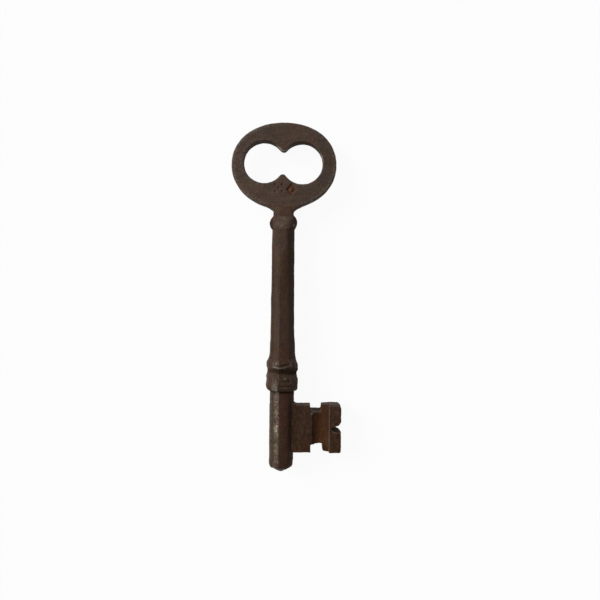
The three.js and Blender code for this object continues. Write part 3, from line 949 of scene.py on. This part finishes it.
box_between(
    seat,
    (seat_reach - seat_gap, bit_foot - seat_gap, -root_half_thickness - seat_gap),
    (seat_reach + 2, bit_top + seat_gap, root_half_thickness + seat_gap),
)
slot = bmesh.new()
box_between(
    slot,
    (tongue_reach - fit_gap, bit_foot + tongue_inset - fit_gap, -tongue_half_thickness - fit_gap),
    (seat_reach + 1, bit_top - tongue_inset + fit_gap, tongue_half_thickness + fit_gap),
)
post = cut_away(cut_away(post, seat), slot)
post_iron = iron(
    "worn post iron", (seen(65, 41, 29), seen(61, 41, 34), seen(58, 43, 26)), roughness=0.5,
    rust_share=0.1, wear_share=0.15, metal_and_highlight=seen(178, 173, 156),
)
lay_down(post, "iron_post", "post", post_iron)

# The bit: a thick forged blade, filed away in front to leave a channel between its root and its
# end block, with two ward cuts and a notch. It is brazed to the post by a tongue, and rust sits in
# the cuts.
bit_low, bit_high = reach("bit")
channel_start, channel_end = 10.18, 15.6
channel_lowest = 12.45
channel_level, steep_rise, gentle_rise = 1.35, 0.75, 0.6
end_reach = bit_high.x
end_half_thickness = bit_high.z
end_foot, end_top = bit_low.y, bit_high.y
web_foot, web_top_back = 9.6, 20.72
web_slope = math.tan(math.radians(14))
lower_ward_start, lower_ward_end = 9.62, 13.42
upper_ward_start, upper_ward_end = 9.42, 12.97
end_chamfer = 0.5
back_notch = [
    (end_reach, 13.1), (19.1, 13.7), (17.4, 14.4), (16.45, 14.8), (18.7, 15.65), (end_reach, 16.8),
]
front_notch = [
    (end_reach, 13.7), (18.3, 13.25), (16.6, 13.9), (15.7, 14.8), (18.7, 15.6), (end_reach, 16.8),
]


def layered(bm, outline, low, high):
    """A flat solid whose outline may change a little from its back to its front."""
    low_points, high_points = outline(low), outline(high)
    back = [bm.verts.new((x, y, low)) for x, y in low_points]
    face = bm.faces.new(back)
    raised = bmesh.ops.extrude_face_region(bm, geom=[face])
    front = [part for part in raised["geom"] if isinstance(part, bmesh.types.BMVert)]
    for vertex in front:
        flat = Vector((vertex.co.x, vertex.co.y))
        place = min(range(len(low_points)), key=lambda i: (Vector(low_points[i]) - flat).length)
        vertex.co = (*high_points[place], high)


def web_top(level):
    """How high the web's sloping top is."""
    return web_top_back - (level + root_half_thickness) * web_slope


def root_points(level):
    """The root, with a fillet of braze on top, and the thin cheek beside the channel."""
    return [
        (seat_reach, bit_foot), (lower_ward_start, bit_foot), (lower_ward_start, 9.25),
        (channel_start, 9.3), (channel_start, web_top(level)), (upper_ward_start, web_top(level)),
        (upper_ward_start, bit_top), (5.1, bit_top), (4.6, bit_top + 0.1), (4.25, bit_top + 0.4),
        (seat_reach, bit_top + 0.4),
    ]


def web_points(level):
    """The thin web behind the channel, as far as the end block."""
    return [
        (lower_ward_start - 0.3, 9.25), (10.8, 9.35), (11.0, web_foot), (lower_ward_end, web_foot),
        (lower_ward_end + 0.1, end_foot + 0.9), (lower_ward_end + 0.5, end_foot + 0.5),
        (channel_end + 0.5, end_foot + 0.35), (channel_end + 0.5, end_top + 0.02),
        (upper_ward_end + 0.3, end_top + 0.02), (upper_ward_end, end_top - 0.3),
        (upper_ward_end - 0.1, web_top(level)),
        (upper_ward_start - 0.1, web_top(level)),
    ]


def end_points(level):
    """The end block with its rounded corners and the slanting notch in its end."""
    top_round, foot_round = 1.25, 0.7
    block_foot, lower_reach = end_foot + 0.15, end_reach + 0.06
    return [
        (channel_end, block_foot),
        *round_stretch(
            (lower_reach - foot_round, block_foot + foot_round), foot_round,
            -math.pi / 2, 0, steps=4,
        ),
        *(front_notch if level > 0 else back_notch),
        *round_stretch(
            (end_reach - top_round, end_top - top_round), top_round, 0, math.pi / 2, steps=6,
        ),
        (end_reach - top_round, end_top), (channel_end, end_top),
    ]


bit = bmesh.new()
layered(bit, root_points, -root_half_thickness, root_half_thickness)
layered(bit, web_points, -root_half_thickness, channel_level)
layered(bit, end_points, -end_half_thickness, end_half_thickness)
box_between(
    bit,
    (tongue_reach, bit_foot + tongue_inset, -tongue_half_thickness),
    (seat_reach + 1, bit_top - tongue_inset, tongue_half_thickness),
)
bmesh.ops.recalc_face_normals(bit, faces=bit.faces)
bit = even_skin(bit, voxel=0.12)
for vertex in bit.verts:
    x, y, z = vertex.co
    if x > channel_end - 0.1 and y > end_top - 1 and z > end_half_thickness - 1:
        over = y - end_top + z - end_half_thickness + end_chamfer
        if over > 0:
            vertex.co.y -= over / 2
            vertex.co.z -= over / 2
    if channel_start < x < channel_end + 0.15:
        if x < channel_lowest:
            rise = steep_rise * ((channel_lowest - x) / (channel_lowest - channel_start)) ** 1.3
        else:
            rise = gentle_rise * ((x - channel_lowest) / (channel_end - channel_lowest)) ** 2
        if z > channel_level:
            vertex.co.z += rise * (end_half_thickness - z) / (end_half_thickness - channel_level)
        else:
            vertex.co.z += rise * grow(-1.0, channel_level, z)
weather(
    bit, seed=67, wave=0.05, lump=0.03, pit_depth=0.06, pit_share=0.45,
    outside=lambda place: place.x > seat_reach + 0.15,
)
# Rust lies in the channel, the notch and the stains. Painted shade darkens the lower ward's inner
# corner, and the root's foot is darker. The faces turned up, the cheek's top, the end block's top,
# the notch's lip and the channel's end edge, in rust orange and metal, carry painted highlights.
wear_and_highlight_layer, rust_layer, dirt_and_shade_layer = new_layers(bit, "wear_and_highlight", "rust", "dirt_and_shade")
edge_layer = bit.verts.layers.float["edge"]
bit.normal_update()
for vertex in bit.verts:
    x, y, z = vertex.co
    in_channel = grow(channel_start, channel_start + 0.3, x) * fade(channel_end, 16, x)
    in_channel *= grow(0.2, 0.6, vertex.normal.z)
    past_lowest = grow(channel_lowest - 1, channel_lowest + 0.5, x)
    in_notch = grow(0.2, 0.5, vertex.normal.y) * grow(16.2, 16.8, x)
    in_notch *= bell(y - 13.9, 0.9) * fade(2.3, 2.6, z)
    stain = noise.noise(Vector((x / 0.8, y / 1.3, z / 0.8))) * (1 - 0.6 * in_channel)
    at_corner = 0.7 * spot_at(vertex, lower_ward_end + 0.5, end_foot + 1.1, 1.4)
    at_root_foot = 0.35 * spot_at(vertex, 8.2, bit_foot + 1.2, 1.2)
    vertex[dirt_and_shade_layer] = max(0.4 * grow(0.05, 0.5, stain), at_corner, at_root_foot)
    rust = max(in_channel * (0.65 - 0.1 * past_lowest), 0.5 * in_notch)
    upward = grow(0.4, 0.95, vertex.normal.y)
    on_web = bell(x - 10.1, 1.0) * grow(19.4, 19.7, y)
    wear_and_highlight = (0.17 + 0.3 * on_web) * upward * grow(bit_top - 2.8, bit_top - 2.4, y)
    wear_and_highlight = max(wear_and_highlight, 0.05 * grow(0.05, 0.5, -stain) * grow(0.7, 0.9, vertex.normal.z))
    if z > channel_level + 0.5:
        on_cheek = bell(x - channel_start, 0.25) * grow(9.0, 9.5, y)
        vertex[edge_layer] *= 1 - 0.7 * on_cheek
        cheek_top = spot_at(vertex, channel_start - 0.1, 19.4, 0.3)
        end_line = 0.4 * bell(x - channel_end - 0.12, 0.1)
        end_spot = 0.15 * spot_at(vertex, 18.0, 19.9, 0.5)
        wear_and_highlight = max(wear_and_highlight, cheek_top, end_line, end_spot, 0.04 * spot_at(vertex, 17.5, 17.2, 0.8))
        rust = max(rust, 0.7 * bell(x - channel_end - 0.1, 0.2))
    if x > 16 and z > end_half_thickness - 0.3:
        notch_lip = 0.7 * bell(y - 13.6, 0.4) * grow(0.1, 0.5, vertex.normal.y)
        wear_and_highlight = max(wear_and_highlight, notch_lip)
    vertex[rust_layer], vertex[wear_and_highlight_layer] = rust, wear_and_highlight
bit_iron = iron(
    "rusted bit iron", (seen(61, 40, 26), seen(57, 39, 31), seen(55, 42, 23)), roughness=0.68,
    rust_share=0.2, wear_share=0.32, rust=seen(77, 45, 24), metal_and_highlight=seen(150, 143, 136),
)
lay_down(bit, "iron_bit", "bit", bit_iron)

# The table under the key: a smooth white board that reads as paper white and still takes the
# key's soft shadow.
table_half = 1.2
paper_over_paint = 0.94


def seen_plainly(nodes, links):
    """1 for what the camera sees, also in metal or through glass, and 0 for light on the key."""
    light_path = nodes.new("ShaderNodeLightPath")
    found = light_path.outputs["Is Camera Ray"]
    for kind in ("Is Glossy Ray", "Is Transmission Ray"):
        either = nodes.new("ShaderNodeMath")
        either.operation = "MAXIMUM"
        links.new(found, either.inputs[0])
        links.new(light_path.outputs[kind], either.inputs[1])
        found = either.outputs[0]
    return found


board = bmesh.new()
bmesh.ops.create_grid(board, x_segments=1, y_segments=1, size=table_half)
table = as_object(board, "table")
table_white = bpy.data.materials.new("table white")
table_white.use_nodes = True
nodes, links = table_white.node_tree.nodes, table_white.node_tree.links
painted = nodes["Principled BSDF"]
painted.inputs["Base Color"].default_value = (0.85, 0.85, 0.85, 1)
painted.inputs["Roughness"].default_value = 0.9
painted.inputs["Specular IOR Level"].default_value = 0.1
paper = nodes.new("ShaderNodeEmission")
paper.inputs["Strength"].default_value = 1
paper_share = nodes.new("ShaderNodeMath")
paper_share.operation = "MULTIPLY"
paper_share.inputs[1].default_value = paper_over_paint
links.new(seen_plainly(nodes, links), paper_share.inputs[0])
paper_over_board = nodes.new("ShaderNodeMixShader")
links.new(paper_share.outputs[0], paper_over_board.inputs["Fac"])
links.new(painted.outputs["BSDF"], paper_over_board.inputs[1])
links.new(paper.outputs["Emission"], paper_over_board.inputs[2])
links.new(paper_over_board.outputs["Shader"], nodes["Material Output"].inputs["Surface"])
table.data.materials.append(table_white)

# The camera: straight above the key, turned a little so that the key leans to the right. The
# picture is 600 pixels wide, and a pixel is 0.33 mm at the stem's middle.
pixel = 0.33 * millimetre
picture_pixels = 600
camera_height_pixels = 560
camera_side_pixels, camera_rise_pixels = 17.34, 171.1
camera_roll = math.radians(0.62)
lens = bpy.data.cameras.new("camera over the key")
lens.sensor_width = 36
lens.lens = lens.sensor_width * camera_height_pixels / picture_pixels
lens.clip_start, lens.clip_end = 0.001, 50
camera = bpy.data.objects.new("camera over the key", lens)
camera_offset = Vector((camera_side_pixels, camera_rise_pixels, camera_height_pixels))
camera.location = stem_origin + camera_offset * pixel
camera.rotation_euler = (0, 0, camera_roll)
bpy.context.scene.collection.objects.link(camera)
bpy.context.scene.camera = camera

# The light: a soft window light from the upper left, low over the table, and an even white room.
window_light = bpy.data.lights.new("window", "SUN")
window_light.energy = 3.0
window_light.angle = math.radians(35)
window = bpy.data.objects.new("window", window_light)
towards_window = Vector((-0.74, 0.38, 0.55))
window.rotation_euler = towards_window.to_track_quat("Z", "Y").to_euler()
bpy.context.scene.collection.objects.link(window)

room = bpy.data.worlds.new("white room")
room.use_nodes = True
bpy.context.scene.world = room
nodes, links = room.node_tree.nodes, room.node_tree.links
background = nodes["Background"]
background.inputs["Color"].default_value = (1, 1, 1, 1)
room_strength = nodes.new("ShaderNodeMapRange")
room_strength.inputs["To Min"].default_value = 0.23
room_strength.inputs["To Max"].default_value = 1.0
links.new(seen_plainly(nodes, links), room_strength.inputs["Value"])
links.new(room_strength.outputs["Result"], background.inputs["Strength"])

bpy.context.scene.view_settings.view_transform = "Standard"
